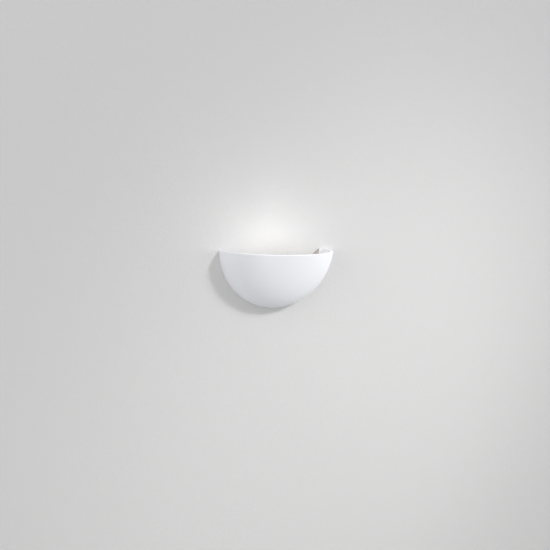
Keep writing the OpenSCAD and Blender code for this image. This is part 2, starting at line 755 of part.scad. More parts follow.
module terminal_block() {
    color("ivory") difference() {
        translate([-block_w / 2, -plate_t - block_d, block_top - block_h]) cube([block_w, block_d, block_h]);
        for (x = ways) {
            translate([x, -way_y, block_top - block_h - cut])
                cylinder(h = block_h + 2 * cut, d = cage_d + 2 * seat_fit);
            for (z = clamp_rows) translate([x, -way_y, z])
                to_room() cylinder(h = block_d, d = clamp_hole_d);
        }
        // Grooves between the ways.
        for (s = sides) translate([s * way_pitch / 2 - groove_w / 2, -plate_t - block_d - cut,
            block_top - block_h - cut]) cube([groove_w, groove_d + cut, block_h + 2 * cut]);
        // Holes and head pockets of the block's own screws.
        for (s = sides) translate([s * block_screw_x, cut, block_z]) to_room() {
            cylinder(h = plate_t + block_d + 2 * cut, d = block_screw_d + 2 * screw_fit);
            translate([0, 0, plate_t + cut + block_d - block_pocket])
                cylinder(h = block_pocket + cut, d = pan_d(block_screw_d) + 2 * screw_fit);
        }
    }
}

module terminal_cages() {
    web = 1;
    depth = (cage_l - web) / 2;
    color("goldenrod") for (x = ways) translate([x, -way_y, block_z]) difference() {
        translate([0, 0, -cage_l / 2]) cylinder(h = cage_l, d = cage_d);
        translate([0, 0, web / 2]) cylinder(h = depth + cut, d = wire_hole_d);
        translate([0, 0, -web / 2 - depth - cut]) cylinder(h = depth + cut, d = wire_hole_d);
        for (z = clamp_rows) translate([0, 0, z - block_z])
            to_room() cylinder(h = cage_d, d = clamp_d + 2 * run_fit);
    }
}

// The upper screws hold the ferrules; the lower ones stand open for the supply.
module terminal_screws() {
    tips = [pin_d / 2 + run_fit, wire_hole_d / 2 + seat_fit];
    head_h = 1.8;
    head_in = 0.6;
    slot = [2 * clamp_head_d, 0.6, 0.9];
    head_y = block_d / 2 - head_h - head_in;
    color("gainsboro") for (x = ways, k = [0, 1]) translate([x, -way_y, clamp_rows[k]]) to_room()
        difference() {
            union() {
                translate([0, 0, tips[k]]) cylinder(h = head_y - tips[k] + join, d = clamp_d);
                translate([0, 0, head_y]) cylinder(h = head_h, d = clamp_head_d);
            }
            translate([-slot[0] / 2, -slot[1] / 2, head_y + head_h - slot[2]])
                cube([slot[0], slot[1], slot[2] + cut]);
        }
}

module block_screws() {
    seat = plate_t + block_d - block_pocket;
    color("gainsboro") for (s = sides) translate([s * block_screw_x, -seat, block_z])
        to_room() pan_screw(block_screw_d, seat);
}

module lead_ferrules() {
    crimp_z = block_top + crimp_gap;
    color("silver") for (x = ways) translate([x, -way_y, 0]) {
        translate([0, 0, block_top - pin_in]) cylinder(h = pin_in + crimp_gap + join, d = pin_d);
        translate([0, 0, crimp_z]) cylinder(h = crimp_l, d = lead_d + 2 * crimp_wall);
    }
}

// Height at which leads run to the block, a bend over the short straight end in its ferrule.
lead_straight = 0.25 * lead_bend;
lead_z = ferrule_top + lead_straight + lead_bend;

// Last stations of a lead that comes level along the plan direction u and bends down to the way at x.
function way_end(x, u) = let (way = [x, -way_y, ferrule_top], up = [0, 0, 1]) [
    way + lead_bend * [u[0], u[1], 0] + (lead_straight + lead_bend) * up,
    way + 0.29 * lead_bend * [u[0], u[1], 0] + (lead_straight + 0.71 * lead_bend) * up,
    way + lead_straight * up,
    way,
];

// A lead leaves the holder along X, turns down past the flange's end, and runs back under the shelf
// to its way at x_end.
module holder_lead(side, x_end) {
    out = side * (flange_x + shelf_t);
    b = lead_bend;
    under = [out - side * b, -lamp_out + 3 * b, lead_z];
    way = [x_end, -way_y, lead_z];
    u = unit(under - way);
    color("firebrick") sweep_tube(route(concat([
        [side * (stem_end + push + spring_room), -lamp_out, lamp_z],
        [out + side * b / 4, -lamp_out, lamp_z],
        [out + side * b, -lamp_out, lamp_z],
        [out + side * 2.4 * b, -lamp_out + b / 2, lamp_z - 1.9 * b],
        [out + side * 2.1 * b, -lamp_out + 1.5 * b, lead_z + 1.5 * b],
        under,
        (under + way) / 2 - [0, 0, b / 2],
    ], way_end(x_end, u)), 6), lead_d / 2, 8, [side, 0, 0], [0, 0, -1]);
}

module earth_screw() {
    color("gainsboro") translate([earth_x, -plate_t - 2 * tag_t, -earth_drop])
        to_room() pan_screw(screw_d, plate_t + 2 * tag_t);
}

module earth_washer() {
    color("silver") translate([earth_x, 0, -earth_drop])
        to_room() ring(2 * screw_d, screw_d + 2 * seat_fit, plate_t, plate_t + tag_t);
}

// Outer diameter of the tag's barrel, the depth at which the lead stops over its floor, and its foot.
barrel_d = lead_d + 1;
barrel_floor = 1;
barrel_z = -earth_drop + tag_r + barrel_floor;

// A ring tag whose barrel points up, beside the block.
module earth_tag() {
    seat = plate_t + tag_t;
    color("silver") translate([earth_x, 0, -earth_drop]) {
        difference() {
            union() {
                to_room() translate([0, 0, seat]) cylinder(h = tag_t, r = tag_r);
                translate([-barrel_d / 2, -seat - tag_t, 0])
                    cube([barrel_d, tag_t, tag_r + 2 * barrel_floor]);
            }
            to_room() translate([0, 0, seat - cut])
                cylinder(h = tag_t + 2 * cut, d = screw_d + 2 * seat_fit);
        }
        translate([0, -seat - barrel_d / 2, tag_r + barrel_floor]) difference() {
            cylinder(h = tag_barrel, d = barrel_d);
            translate([0, 0, barrel_floor]) cylinder(h = tag_barrel, d = lead_d + 2 * seat_fit);
        }
    }
}

module earth_lead() {
    y = plate_t + tag_t + barrel_d / 2;
    top = barrel_z + tag_barrel;
    b = lead_bend;
    color("yellowgreen") sweep_tube(route(concat([
        [earth_x, -y, barrel_z + barrel_floor],
        [earth_x, -y, top],
        [earth_x, -y, top + b / 2],
        [earth_x - b, -y - b / 4, lead_z - b],
        [(earth_x + ways[2]) / 2, -(y + 3 * way_y) / 4, lead_z + b / 4],
    ], way_end(ways[2], [1, 0])), 6), lead_d / 2, 8, [0, 0, 1], [0, 0, -1]);
}

// The cable bush sits in the bracket with its barrel flush to the wall.
module cable_bush() {
    color("dimgray") translate([0, 0, inlet_z]) to_room() difference() {
        union() {
            cylinder(h = plate_t + join, r = inlet_r);
            translate([0, 0, plate_t]) cylinder(h = inlet_flange, r = inlet_r + inlet_flange);
        }
        translate([0, 0, -cut]) cylinder(h = plate_t + inlet_flange + 2 * cut, d = inlet_d);
    }
}

bowl_shell();
wall_bracket();
fixing_tab(-1);  // fixing_tab_left
fixing_tab(1);  // fixing_tab_right
bracket_bushes();
thumb_screw(-1);  // thumb_screw_left
thumb_screw(1);  // thumb_screw_right
thumb_washer(-1);  // thumb_washer_left
thumb_washer(1);  // thumb_washer_right
lamp_carrier();
carrier_screws();
reflector();
reflector_rivets();
lampholder(-1);  // lampholder_left
lampholder(1);  // lampholder_right
holder_bolts();
holder_nuts();
contact(-1);  // contact_left
contact(1);  // contact_right
contact_spring(-1);  // contact_spring_left
contact_spring(1);  // contact_spring_right
lamp_tube();
lamp_caps();
lamp_buttons();
lamp_filament();
filament_supports();
terminal_block();
terminal_cages();
terminal_screws();
block_screws();
holder_lead(-1, ways[0]);  // lead_left
holder_lead(1, ways[1]);  // lead_right
lead_ferrules();
earth_screw();
earth_washer();
earth_tag();
earth_lead();
cable_bush();
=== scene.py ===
"""Looks of an uplighter wall sconce, built over its packed construction.

The frame gives every construction piece at its real size. This script replaces each of them by a
mesh with the rounded edges, threads and turns of the real piece, gives it its finish, and sets the
stage: a pale wall and floor, soft studio light, the lamp's own glow, and a camera where the
photographer stood. Lengths are metres: +X to the right along the wall, +Y into the wall, +Z up, and
the wall is y = 0.
"""

from __future__ import annotations

import logging
import math
import sys
from collections.abc import Callable, Sequence
from dataclasses import dataclass
from enum import Enum

import bmesh
import bpy
from bmesh.types import BMEdge, BMesh, BMVert
from bpy.types import Material, Node, NodeSocket, Object
from mathutils import Matrix, Vector

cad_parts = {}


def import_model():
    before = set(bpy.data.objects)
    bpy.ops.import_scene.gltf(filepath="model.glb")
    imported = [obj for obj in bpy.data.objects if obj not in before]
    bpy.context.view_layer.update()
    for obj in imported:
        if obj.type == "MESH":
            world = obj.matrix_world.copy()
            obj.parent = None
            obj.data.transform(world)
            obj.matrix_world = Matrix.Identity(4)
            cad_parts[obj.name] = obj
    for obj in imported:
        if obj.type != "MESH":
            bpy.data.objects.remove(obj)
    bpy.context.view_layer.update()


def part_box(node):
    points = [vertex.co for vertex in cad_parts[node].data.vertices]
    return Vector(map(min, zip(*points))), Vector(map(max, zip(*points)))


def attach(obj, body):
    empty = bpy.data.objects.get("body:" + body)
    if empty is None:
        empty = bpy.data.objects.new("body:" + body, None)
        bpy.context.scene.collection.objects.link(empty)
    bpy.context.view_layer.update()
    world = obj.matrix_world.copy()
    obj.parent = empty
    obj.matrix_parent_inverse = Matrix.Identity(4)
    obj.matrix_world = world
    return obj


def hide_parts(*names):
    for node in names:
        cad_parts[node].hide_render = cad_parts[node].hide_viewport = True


Colour = tuple[float, float, float]
Triple = tuple[float, float, float]
Points = Sequence[tuple[float, float]]

LOG = logging.getLogger("sconce")
MM = 0.001
X_AXIS = Vector((1.0, 0.0, 0.0))
Y_AXIS = Vector((0.0, 1.0, 0.0))
Z_AXIS = Vector((0.0, 0.0, 1.0))

# Nearly all of a noise's values lie between these two.
NOISE_LOW, NOISE_HIGH = 0.3, 0.7
# Vertices of a construction mesh that are nearer than this are one.
MERGE_REACH = 2e-6
# Vertices that a full spin leaves in one place are nearer than this.
SPIN_REACH = 1e-7
# A vertex nearer to a plane than this lies in it.
IN_PLANE = 1e-5
# Where a construction mesh bends more than this, it has an edge to round, in degrees.
EDGE_ANGLE = 40.0
# Faces of a construction mesh that bend less than this are one flat face, in degrees.
FLAT_ANGLE = 0.5
# A piece whose creases start from this angle is round all over, in degrees.
ALL_ROUND = 90.0
# Depth of a thread for each unit of its pitch.
THREAD_DEPTH = 0.6


class Body(Enum):
    """The bodies of the construction that a piece can ride on."""

    FITTING = "fitting"
    LAMP = "lamp"
    LEFT_PLUNGER = "left_plunger"
    RIGHT_PLUNGER = "right_plunger"
    LEFT_FEED = "left_feed"
    RIGHT_FEED = "right_feed"
    LEFT_SCREW = "left_screw"
    RIGHT_SCREW = "right_screw"


class Side(Enum):
    """Left or right of the middle plane, as the sign of X."""

    LEFT = -1
    RIGHT = 1

    @property
    def word(self) -> str:
        """The side's name in a piece's name."""
        return self.name.lower()

    def body(self, what: str) -> Body:
        """The moving body of that kind on this side, such as its SCREW."""
        return Body[f"{self.name}_{what}"]


# ---------------------------- finishes


def toned(colour: Colour, factor: float) -> Colour:
    """A colour times a factor, at most 1 in each channel."""
    return tuple(min(1.0, channel * factor) for channel in colour)


class Shader:
    """One procedural material under construction."""

    def __init__(self, name: str) -> None:
        """Starts a material with a principled shader and object coordinates.

        Args:
            name: the material's name.
        """
        self.material = bpy.data.materials.new(name)
        self.material.use_nodes = True
        self.nodes = self.material.node_tree.nodes
        self.links = self.material.node_tree.links
        self.surface = self.nodes["Principled BSDF"]
        self.coordinates = self.nodes.new("ShaderNodeTexCoord").outputs["Object"]

    def set(self, **values: object) -> None:
        """Sets inputs of the principled shader, with _ for a space in each name."""
        for name, value in values.items():
            self.surface.inputs[name.replace("_", " ")].default_value = value

    def feed(self, socket: NodeSocket, name: str) -> None:
        """Links a socket to the principled shader's input of that name."""
        self.links.new(socket, self.surface.inputs[name])

    def place(self, scale: Triple = (1, 1, 1), shift: Triple = (0, 0, 0)) -> NodeSocket:
        """Stretches and shifts the object coordinates.

        Args:
            scale: factor along each axis.
            shift: what is added after that.

        Returns:
            The mapped vector.
        """
        node = self.nodes.new("ShaderNodeMapping")
        node.inputs["Scale"].default_value = scale
        node.inputs["Location"].default_value = shift
        self.links.new(self.coordinates, node.inputs["Vector"])
        return node.outputs["Vector"]

    def pattern(self, kind: str, vector: NodeSocket | None, **values: float) -> Node:
        """Adds a texture node.

        Args:
            kind: the end of the node's type.
            vector: coordinates, or None for the plain object coordinates.
            values: its inputs.

        Returns:
            The node.
        """
        node = self.nodes.new(f"ShaderNodeTex{kind}")
        for name, value in values.items():
            node.inputs[name].default_value = value
        self.links.new(vector or self.coordinates, node.inputs["Vector"])
        return node

    def noise(self, scale: float, detail: float = 3.0, rough: float = 0.5,
              vector: NodeSocket | None = None) -> NodeSocket:
        """Fractal noise.

        Args:
            scale: features a metre.
            detail: octaves.
            rough: strength of each next octave.
            vector: coordinates, or None for the plain object coordinates.

        Returns:
            The noise's value, about 0.5 on average.
        """
        return self.pattern("Noise", vector, Scale=scale, Detail=detail, Roughness=rough).outputs["Fac"]

    def cells(self, scale: float) -> NodeSocket:
        """A pattern of cells, each of one random colour.

        Args:
            scale: cells a metre.

        Returns:
            The colour.
        """
        return self.pattern("Voronoi", None, Scale=scale).outputs["Color"]

    def slanted_bands(self, scale: float, vector: NodeSocket | None = None) -> NodeSocket:
        """Sine bands that run at a slant.

        Args:
            scale: the bands' scale.
            vector: coordinates, or None for the plain object coordinates.

        Returns:
            The bands' value from 0 to 1.
        """
        node = self.pattern("Wave", vector, Scale=scale)
        node.bands_direction = "DIAGONAL"
        return node.outputs["Fac"]

    def span(self, value: NodeSocket, low: float, high: float, start: float = NOISE_LOW,
             stop: float = NOISE_HIGH) -> NodeSocket:
        """Maps a value from start..stop to low..high, clamped.

        Args:
            value: the socket to map.
            low: result at start.
            high: result at stop.
            start: value that gives low.
            stop: value that gives high.

        Returns:
            The mapped value.
        """
        node = self.nodes.new("ShaderNodeMapRange")
        for name, number in (("From Min", start), ("From Max", stop), ("To Min", low), ("To Max", high)):
            node.inputs[name].default_value = number
        self.links.new(value, node.inputs["Value"])
        return node.outputs["Result"]

    def math(self, operation: str, *terms: NodeSocket | float) -> NodeSocket:
        """A sum, product or comparison.

        Args:
            operation: the math node's operation.
            terms: sockets or numbers.

        Returns:
            The result.
        """
        node = self.nodes.new("ShaderNodeMath")
        node.operation = operation
        for socket, term in zip(node.inputs, terms):
            if isinstance(term, NodeSocket):
                self.links.new(term, socket)
            else:
                socket.default_value = term
        return node.outputs["Value"]

    def blend(self, share: NodeSocket, first: Colour, second: Colour) -> NodeSocket:
        """Mixes two colours.

        Args:
            share: 0 for the first colour, 1 for the second.
            first: a linear colour.
            second: a linear colour.

        Returns:
            The mixed colour.
        """
        node = self.nodes.new("ShaderNodeMix")
        node.data_type = "RGBA"
        # The node's sockets for numbers and vectors have the same names, so those for colours go by place.
        node.inputs[6].default_value = (*first, 1.0)
        node.inputs[7].default_value = (*second, 1.0)
        self.links.new(share, node.inputs[0])
        return node.outputs[2]

    def bump(self, height: NodeSocket, depth: float, strength: float = 1.0) -> None:
        """Raises the surface by a value, on top of any relief that it has already.

        Args:
            height: the value, 0 to 1.
            depth: the relief in metres.
            strength: share of the relief that shades.
        """
        node = self.nodes.new("ShaderNodeBump")
        node.inputs["Distance"].default_value = depth
        node.inputs["Strength"].default_value = strength
        self.links.new(height, node.inputs["Height"])
        normal = self.surface.inputs["Normal"]
        if normal.is_linked:
            self.links.new(normal.links[0].from_socket, node.inputs["Normal"])
        self.links.new(node.outputs["Normal"], normal)


@dataclass(frozen=True)
class Finish:
    """A surface finish: a base colour with a little variation, roughness and fine relief.

    Its scales are features a metre, and its relief is in metres.
    """

    slot: str
    colour: Colour
    roughness: float = 0.5
    metallic: float = 0.0
    variation: float = 0.04
    patch_scale: float = 60.0
    grain_scale: float = 900.0
    relief: float = 0.00003
    gloss_spread: float = 0.06
    look: str = ""

    def drift_gloss(self, shader: Shader, noise: NodeSocket) -> None:
        """Lets the roughness drift with a noise.

        Args:
            shader: the material under construction.
            noise: the noise.
        """
        glossy, dull = self.roughness - self.gloss_spread, self.roughness + self.gloss_spread
        shader.feed(shader.span(noise, glossy, dull), "Roughness")

    def dress(self, shader: Shader) -> None:
        """Adds the nodes of this finish to a material.

        Args:
            shader: the material under construction.
        """
        patches = shader.noise(self.patch_scale)
        dark, light = toned(self.colour, 1 - self.variation), toned(self.colour, 1 + self.variation)
        shader.feed(shader.blend(patches, dark, light), "Base Color")
        grain = shader.noise(self.grain_scale, detail=4)
        self.drift_gloss(shader, grain)
        shader.bump(grain, self.relief)
        shader.set(Metallic=self.metallic)

    def material(self) -> Material:
        """The finish's material, made once.

        Returns:
            The material.
        """
        name = f"{self.look or self.slot}_finish"
        made = bpy.data.materials.get(name)
        if made is None:
            shader = Shader(name)
            self.dress(shader)
            made = shader.material
        return made


@dataclass(frozen=True)
class PaintedPlaster(Finish):
    """Cast plaster under matt paint: soft waves of the casting, roller grain and a faint tone drift."""

    wave_scale: float = 14.0
    wave_relief: float = 0.0004
    gloss_spread: float = 0.05
    specular: float = 0.35

    def dress(self, shader: Shader) -> None:
        """Adds the nodes of this finish to a material.

        Args:
            shader: the material under construction.
        """
        drift = shader.noise(self.patch_scale, detail=2)
        shader.feed(shader.blend(drift, toned(self.colour, 1 - self.variation), self.colour), "Base Color")
        grain = shader.noise(self.grain_scale, detail=5, rough=0.6)
        self.drift_gloss(shader, grain)
        shader.bump(shader.noise(self.wave_scale, detail=2, rough=0.4), self.wave_relief)
        shader.bump(grain, self.relief)
        shader.set(Specular_IOR_Level=self.specular)


@dataclass(frozen=True)
class GalvanisedSheet(Finish):
    """Hot-dipped sheet: spangle cells of slightly different grey and gloss."""

    spangle: float = 170.0
    glossier: float = 0.08
    duller: float = 0.1

    def dress(self, shader: Shader) -> None:
        """Adds the nodes of this finish to a material.

        Args:
            shader: the material under construction.
        """
        cell = shader.nodes.new("ShaderNodeSeparateColor")
        shader.links.new(shader.cells(self.spangle), cell.inputs["Color"])
        dark, light = toned(self.colour, 1 - self.variation), toned(self.colour, 1 + self.variation)
        shader.feed(shader.blend(cell.outputs["Red"], dark, light), "Base Color")
        gloss = shader.span(cell.outputs["Green"], self.roughness - self.glossier,
                            self.roughness + self.duller, 0.0, 1.0)
        shader.feed(gloss, "Roughness")
        shader.bump(shader.noise(self.grain_scale, detail=4), self.relief)
        shader.set(Metallic=self.metallic)


@dataclass(frozen=True)
class RolledSheet(Finish):
    """Anodised sheet with the fine lines of rolling along X."""

    line_stretch: float = 0.02
    gloss_spread: float = 0.08
    anisotropy: float = 0.4

    def dress(self, shader: Shader) -> None:
        """Adds the nodes of this finish to a material.

        Args:
            shader: the material under construction.
        """
        along_x = shader.place((self.line_stretch, 1, 1))
        lines = shader.noise(self.grain_scale, rough=0.6, vector=along_x)
        shader.feed(shader.blend(lines, toned(self.colour, 1 - self.variation), self.colour), "Base Color")
        self.drift_gloss(shader, lines)
        shader.bump(lines, self.relief)
        shader.set(Metallic=self.metallic, Anisotropic=self.anisotropy)


@dataclass(frozen=True)
class BraidedSleeve(Finish):
    """A woven glass sleeve: crossed slanted yarns in relief, with painted shade darkening the gaps between
    them.
    """

    yarn_scale: float = 260.0
    # Share of the colour left in the gaps between the yarns, as painted shade.
    gap_tone: float = 0.6

    def dress(self, shader: Shader) -> None:
        """Adds the nodes of this finish to a material.

        Args:
            shader: the material under construction.
        """
        one = shader.slanted_bands(self.yarn_scale)
        other = shader.slanted_bands(self.yarn_scale, shader.place((-1, 1, 1)))
        yarn = shader.math("MULTIPLY", one, other)
        # Painted shade: the colour darkens where the yarns part.
        shader.feed(shader.blend(yarn, toned(self.colour, self.gap_tone), self.colour), "Base Color")
        shader.bump(yarn, self.relief)
        shader.set(Roughness=self.roughness)


@dataclass(frozen=True)
class StripedSleeve(Finish):
    """Insulation in green with yellow stripes."""

    stripe: Colour = (0.72, 0.62, 0.05)
    stripe_scale: float = 45.0
    stripe_edge: float = 0.05

    def dress(self, shader: Shader) -> None:
        """Adds the nodes of this finish to a material.

        Args:
            shader: the material under construction.
        """
        band = shader.span(shader.slanted_bands(self.stripe_scale), 0.0, 1.0,
                           0.5 - self.stripe_edge, 0.5 + self.stripe_edge)
        shader.feed(shader.blend(band, self.colour, self.stripe), "Base Color")
        shader.bump(shader.noise(self.grain_scale), self.relief)
        shader.set(Roughness=self.roughness)


@dataclass(frozen=True)
class ClearQuartz(Finish):
    """Clear quartz glass with faint drawing lines along X."""

    line_stretch: float = 0.05
    line_strength: float = 0.3
    refraction: float = 1.46

    def dress(self, shader: Shader) -> None:
        """Adds the nodes of this finish to a material.

        Args:
            shader: the material under construction.
        """
        along_x = shader.place((self.line_stretch, 1, 1))
        lines = shader.noise(self.grain_scale, detail=2, vector=along_x)
        shader.bump(lines, self.relief, self.line_strength)
        shader.feed(shader.span(lines, 0.0, 2 * self.roughness), "Roughness")
        shader.set(Base_Color=(*self.colour, 1), Transmission_Weight=1.0, IOR=self.refraction)


@dataclass(frozen=True)
class HotTungsten(Finish):
    """Glowing tungsten wire, in some places a little hotter than in others."""

    glow: Colour = (1.0, 0.78, 0.5)
    cooler: float = 0.75
    strength: float = 6.0

    def dress(self, shader: Shader) -> None:
        """Adds the nodes of this finish to a material.

        Args:
            shader: the material under construction.
        """
        heat = shader.noise(self.patch_scale, detail=2)
        shader.feed(shader.blend(heat, toned(self.glow, self.cooler), self.glow), "Emission Color")
        shader.set(Base_Color=(*self.colour, 1), Roughness=self.roughness, Metallic=self.metallic,
                   Emission_Strength=self.strength)


PLASTER = PaintedPlaster("plaster", (0.866, 0.875, 0.905), roughness=0.62, variation=0.012,
                         patch_scale=9.0, grain_scale=700.0, relief=0.00005)
GALVANISED = GalvanisedSheet("galvanised", (0.46, 0.43, 0.408), roughness=0.62, metallic=0.25,
                             variation=0.14, relief=0.00001)
ZINC_STEEL = Finish("zinc_steel", (0.66, 0.67, 0.68), roughness=0.3, metallic=1.0, variation=0.05,
                    patch_scale=200.0, grain_scale=2500.0, relief=0.000006)
REFLECTOR_SHEET = RolledSheet("reflector_sheet", (0.84, 0.85, 0.86), roughness=0.24, metallic=0.95,
                              variation=0.06, grain_scale=3000.0, relief=0.000006)
STEATITE = Finish("steatite", (0.7, 0.67, 0.6), roughness=0.55, variation=0.05, patch_scale=90.0,
                  grain_scale=1800.0, relief=0.00002)
COPPER_ALLOY = Finish("copper_alloy", (0.76, 0.52, 0.26), roughness=0.28, metallic=1.0, variation=0.08,
                      patch_scale=300.0, grain_scale=2500.0, relief=0.000005)
SPRING_STEEL = Finish("spring_steel", (0.56, 0.57, 0.58), roughness=0.25, metallic=1.0, variation=0.05,
                      patch_scale=300.0, grain_scale=3000.0, relief=0.000004)
QUARTZ = ClearQuartz("quartz", (0.98, 0.99, 1.0), roughness=0.02, relief=0.00001)
TUNGSTEN = Finish("tungsten", (0.3, 0.3, 0.32), roughness=0.4, metallic=1.0, variation=0.05,
                  patch_scale=400.0, grain_scale=3000.0, relief=0.000003)
FILAMENT = HotTungsten("tungsten", (0.35, 0.32, 0.3), roughness=0.5, metallic=0.5, patch_scale=400.0,
                       look="glowing_tungsten")
NYLON = Finish("nylon", (0.74, 0.72, 0.64), roughness=0.45, variation=0.03, patch_scale=70.0,
               grain_scale=2200.0, relief=0.000012)
DARK_NYLON = Finish("dark_nylon", (0.025, 0.025, 0.027), roughness=0.5, variation=0.1, patch_scale=90.0,
                    grain_scale=2200.0, relief=0.000012)
GLASS_SLEEVE = BraidedSleeve("glass_sleeve", (0.5, 0.09, 0.06), roughness=0.75, relief=0.00008)
EARTH_SLEEVE = StripedSleeve("earth_sleeve", (0.09, 0.3, 0.05), roughness=0.4, grain_scale=1500.0,
                             relief=0.00001)


# ---------------------------- meshes


def stand(bm: BMesh, direction: Vector, place: Vector) -> None:
    """Turns a shape made along +X, so that it runs along a direction from a place.

    Args:
        bm: the shape.
        direction: where its +X goes.
        place: where its origin goes.
    """
    turn = X_AXIS.rotation_difference(direction).to_matrix()
    bmesh.ops.rotate(bm, verts=bm.verts, cent=(0, 0, 0), matrix=turn)
    bmesh.ops.translate(bm, verts=bm.verts, vec=place)


def join_in(bm: BMesh, other: BMesh) -> None:
    """Adds a shape to another.

    Args:
        bm: the mesh that grows.
        other: the shape to add; it is freed.
    """
    mesh = bpy.data.meshes.new("joined")
    other.to_mesh(mesh)
    other.free()
    bm.from_mesh(mesh)
    bpy.data.meshes.remove(mesh)


def sharp_edges(bm: BMesh, degrees: float,
                wanted: Callable[[BMEdge], bool] = lambda edge: True) -> list[BMEdge]:
    """Finds the edges where two faces meet at more than an angle.

    Args:
        bm: the mesh.
        degrees: the least angle.
        wanted: a further test of each edge.

    Returns:
        The edges.
    """
    least = math.radians(degrees)
    return [e for e in bm.edges if e.is_manifold and e.calc_face_angle(0) > least and wanted(e)]


def round_edges(bm: BMesh, edges: list[BMEdge], width: float, segments: int = 2) -> None:
    """Bevels edges to a round.

    Args:
        bm: the mesh.
        edges: the edges to round.
        width: the bevel's width.
        segments: faces across the round.
    """
    if edges:
        bmesh.ops.bevel(bm, geom=edges, offset=width, offset_type="OFFSET", segments=segments,
                        profile=0.5, affect="EDGES", clamp_overlap=True, material=-1)


def lathe(profile: Points, steps: int) -> BMesh:
    """Turns a closed profile of (radius, place along X) about the X axis.

    Args:
        profile: the profile's corners; a point at radius 0 becomes a pole.
        steps: faces round the axis.

    Returns:
        The turned shape, with faces outwards.
    """
    bm = bmesh.new()
    verts = [bm.verts.new((x, 0.0, r)) for r, x in profile]
    edges = [bm.edges.new((a, b)) for a, b in zip(verts, verts[1:] + verts[:1])
             if a.co.z > 0 or b.co.z > 0]
    bmesh.ops.spin(bm, geom=verts + edges, cent=(0, 0, 0), axis=X_AXIS, dvec=(0, 0, 0), angle=math.tau,
                   steps=steps, use_merge=True, use_duplicate=False)
    bmesh.ops.remove_doubles(bm, verts=bm.verts, dist=SPIN_REACH)
    bmesh.ops.recalc_face_normals(bm, faces=bm.faces)
    return bm


def wind(stretches: Points, radius: float, wire: float, per_turn: int, sides: int) -> BMesh:
    """Winds a wire about the X axis, from x = 0, with a pitch that may change on the way.

    Args:
        stretches: turns and run along X of each stretch.
        radius: the mean radius.
        wire: the wire's diameter.
        per_turn: sections in a turn.
        sides: sides of the wire.

    Returns:
        The winding with closed ends.
    """
    bm = bmesh.new()
    bmesh.ops.create_circle(bm, segments=sides, radius=wire / 2, cap_ends=False)
    bmesh.ops.rotate(bm, verts=bm.verts, cent=(0, 0, 0), matrix=Matrix.Rotation(math.pi / 2, 3, "X"))
    bmesh.ops.translate(bm, verts=bm.verts, vec=(0, 0, radius))
    end = bm.verts[:] + bm.edges[:]
    for turns, run in stretches:
        steps = round(turns * per_turn)
        spun = bmesh.ops.spin(bm, geom=end, cent=(0, 0, 0), axis=X_AXIS, dvec=X_AXIS * (run / steps),
                              angle=math.tau * turns, steps=steps, use_merge=False, use_duplicate=False)
        end = spun["geom_last"]
    bmesh.ops.holes_fill(bm, edges=[e for e in bm.edges if e.is_boundary], sides=0)
    bmesh.ops.recalc_face_normals(bm, faces=bm.faces)
    return bm


def cut_thread(bm: BMesh, tip: Vector, direction: Vector, run: float, pitch: float) -> None:
    """Cuts a thread on the plain end of a shank: a thinner core, with a helical ridge as wide as the shank.

    Args:
        bm: the screw.
        tip: the middle of the shank's end.
        direction: from the tip towards the head.
        run: length of the thread.
        pitch: its pitch.
    """
    def across(vert: BMVert) -> Vector:
        """The vertex's offset from the shank's axis."""
        offset = vert.co - tip
        return offset - direction * offset.dot(direction)

    depth = THREAD_DEPTH * pitch
    radius = max(across(v).length for v in bm.verts if abs((v.co - tip).dot(direction)) < depth)
    # Vertices from half the shank's radius to just past it are its skin, and go in by the thread's depth.
    least, most = 0.5 * radius, 1.01 * radius
    for vert in bm.verts:
        out = across(vert)
        if (vert.co - tip).dot(direction) < run and least < out.length < most:
            vert.co -= out * (depth / radius)
    ridge = wind([(run / pitch - 1, run - pitch)], radius - depth, 2 * depth, per_turn=24, sides=4)
    stand(ridge, direction, tip + direction * (pitch / 2))
    join_in(bm, ridge)


def copy_of(node: str) -> BMesh:
    """A merged copy of a construction node's mesh.

    Args:
        node: the node's name.

    Returns:
        The copy.
    """
    bm = bmesh.new()
    bm.from_mesh(bpy.data.objects[node].data)
    bmesh.ops.remove_doubles(bm, verts=bm.verts, dist=MERGE_REACH)
    return bm


def middle_of(node: str) -> Vector:
    """The middle of a construction node's box."""
    low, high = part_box(node)
    return (low + high) / 2


def rounded_copy(node: str, width: float, segments: int = 2) -> BMesh:
    """A copy of a construction node with its flat faces whole and its edges rounded as the real piece's are.

    Args:
        node: the node's name.
        width: the rounds' width.
        segments: faces across each round.

    Returns:
        The copy.
    """
    bm = copy_of(node)
    bmesh.ops.dissolve_limit(bm, angle_limit=math.radians(FLAT_ANGLE), verts=bm.verts, edges=bm.edges,
                             use_dissolve_boundaries=False, delimit=set())
    round_edges(bm, sharp_edges(bm, EDGE_ANGLE), width, segments)
    return bm


# ---------------------------- pieces


def add_piece(bm: BMesh, name: str, finish: Finish, node: str, body: Body = Body.FITTING,
              crease: float = 50.0) -> Object:
    """Makes a finished piece of a mesh, hangs it on its body, and lets it stand for a construction node.

    Args:
        bm: the shape, in place; it is freed.
        name: the piece's name.
        finish: its finish.
        node: the node that it replaces.
        body: the body it rides on.
        crease: edges sharper than this stay crisp in shading, in degrees.

    Returns:
        The piece.
    """
    mesh = bpy.data.meshes.new(name)
    bm.to_mesh(mesh)
    bm.free()
    mesh.shade_smooth()
    mesh.set_sharp_from_angle(angle=math.radians(crease))
    mesh.materials.append(finish.material())
    piece = bpy.data.objects.new(name, mesh)
    bpy.context.scene.collection.objects.link(piece)
    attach(piece, body.value)
    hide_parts(node)
    if crease < ALL_ROUND:
        piece.modifiers.new("flat_faces_stay_flat", "WEIGHTED_NORMAL").keep_sharp = True
    LOG.info("%s: %d faces on %s", name, len(mesh.polygons), body.value)
    return piece


